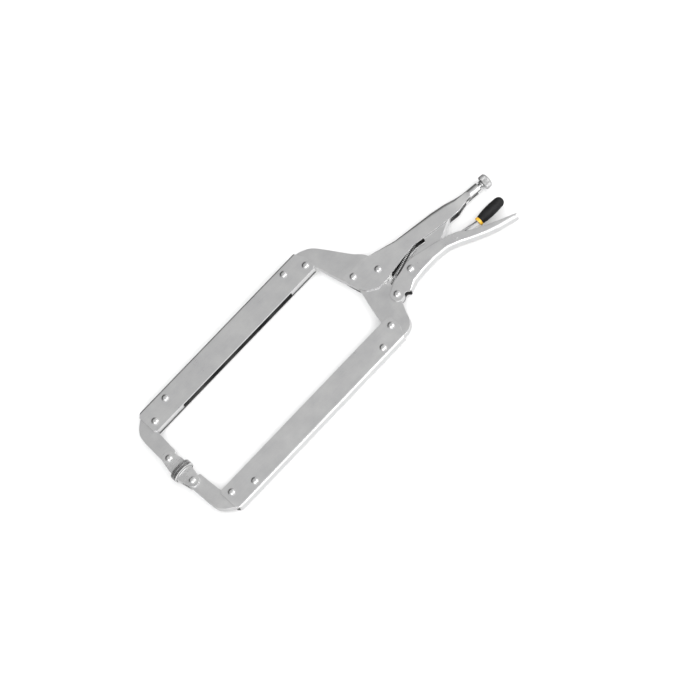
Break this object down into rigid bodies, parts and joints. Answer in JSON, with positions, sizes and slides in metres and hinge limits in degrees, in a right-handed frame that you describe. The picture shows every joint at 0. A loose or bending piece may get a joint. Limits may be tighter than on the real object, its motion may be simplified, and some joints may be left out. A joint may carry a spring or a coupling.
{
  "type": "locking c-clamp pliers",
  "caption": "Long-reach locking clamp pliers with channel-section arms, swivel pads, a spring, a toggle link, an adjusting screw and a release lever.",
  "frame": {"origin": "middle of the fixed pad's clamping face", "axes": "+X along the arms from the pads to the handles, +Y from the clamping face towards the fixed arm, +Z along the pivots"},
  "size_m": [0.474, 0.158, 0.027],
  "materials": {
    "sheet": "satin",
    "plates": "satin",
    "rivets": "polished",
    "pads": "satin",
    "bright_steel": "satin",
    "rubber": "matte",
    "yellow_collar": "satin",
    "spring_wire": "satin"
  },
  "bodies": {
    "upper_handle": {"upper_handle": "sheet", "fixed_jaw": "plates", "fixed_arm": "sheet", "fixed_tip": "plates", "fixed_root_rivets": "rivets", "fixed_tip_rivets": "rivets", "fixed_pad_rivet": "rivets", "front_rivet": "rivets", "pivot_rivet": "rivets", "tension_spring": "spring_wire"},
    "moving_jaw": {"moving_jaw": "plates", "moving_arm": "sheet", "moving_tip": "plates", "moving_root_rivets": "rivets", "moving_tip_rivets": "rivets", "moving_pad_rivet": "rivets"},
    "lower_handle": {"lower_handle": "sheet", "handle_rivet": "rivets", "link_rivet": "rivets", "release_pin": "rivets"},
    "toggle_link": {"toggle_link": "plates"},
    "release_lever": {"release_lever": "sheet", "release_grip": "rubber", "grip_collar": "yellow_collar"},
    "fixed_pad": {"fixed_pad": "pads"},
    "moving_pad": {"moving_pad": "pads"},
    "screw_shank": {"screw_shank": "bright_steel"},
    "screw_knob": {"screw_knob": "bright_steel"}
  },
  "joints": [
    {"name": "jaw_hinge", "type": "hinge", "parent": "upper_handle", "child": "moving_jaw", "pos_m": [0.304, -0.004, 0], "axis": [0, 0, 1], "range_deg": [0, 14], "deforming": ["tension_spring"]},
    {"name": "handle_hinge", "type": "hinge", "parent": "moving_jaw", "child": "lower_handle", "pos_m": [0.2975, -0.0395, 0], "axis": [0, 0, 1], "range_deg": [-53, 0]},
    {"name": "link_hinge", "type": "hinge", "parent": "lower_handle", "child": "toggle_link", "pos_m": [0.328, -0.0305, 0], "axis": [0, 0, 1], "range_deg": [0, 56]},
    {"name": "release_hinge", "type": "hinge", "parent": "lower_handle", "child": "release_lever", "pos_m": [0.386, -0.0425, 0], "axis": [0, 0, 1], "range_deg": [-12, 0]},
    {"name": "fixed_pad_swivel", "type": "hinge", "parent": "upper_handle", "child": "fixed_pad", "pos_m": [0, 0.0182, 0], "axis": [0, 0, 1], "range_deg": [0, 7]},
    {"name": "moving_pad_swivel", "type": "hinge", "parent": "moving_jaw", "child": "moving_pad", "pos_m": [0, -0.0182, 0], "axis": [0, 0, 1], "range_deg": [-7, 0]},
    {"name": "screw_slide", "type": "slide", "parent": "upper_handle", "child": "screw_shank", "axis": [0.9945, -0.1045, 0], "range_m": [0, 0.012]},
    {"name": "knob_turn", "type": "hinge", "parent": "screw_shank", "child": "screw_knob", "pos_m": [0.445, -0.0196, 0], "axis": [0.9945, -0.1045, 0], "range_deg": [0, 4320]}
  ],
  "couplings": [
    {"joint": "handle_hinge", "follows": "jaw_hinge", "ratio": -3.745},
    {"joint": "link_hinge", "follows": "jaw_hinge", "ratio": 3.987},
    {"joint": "fixed_pad_swivel", "follows": "jaw_hinge", "ratio": 0.5},
    {"joint": "moving_pad_swivel", "follows": "jaw_hinge", "ratio": -0.5},
    {"joint": "knob_turn", "follows": "screw_slide", "rad_per_m": 6283.2}
  ]
}
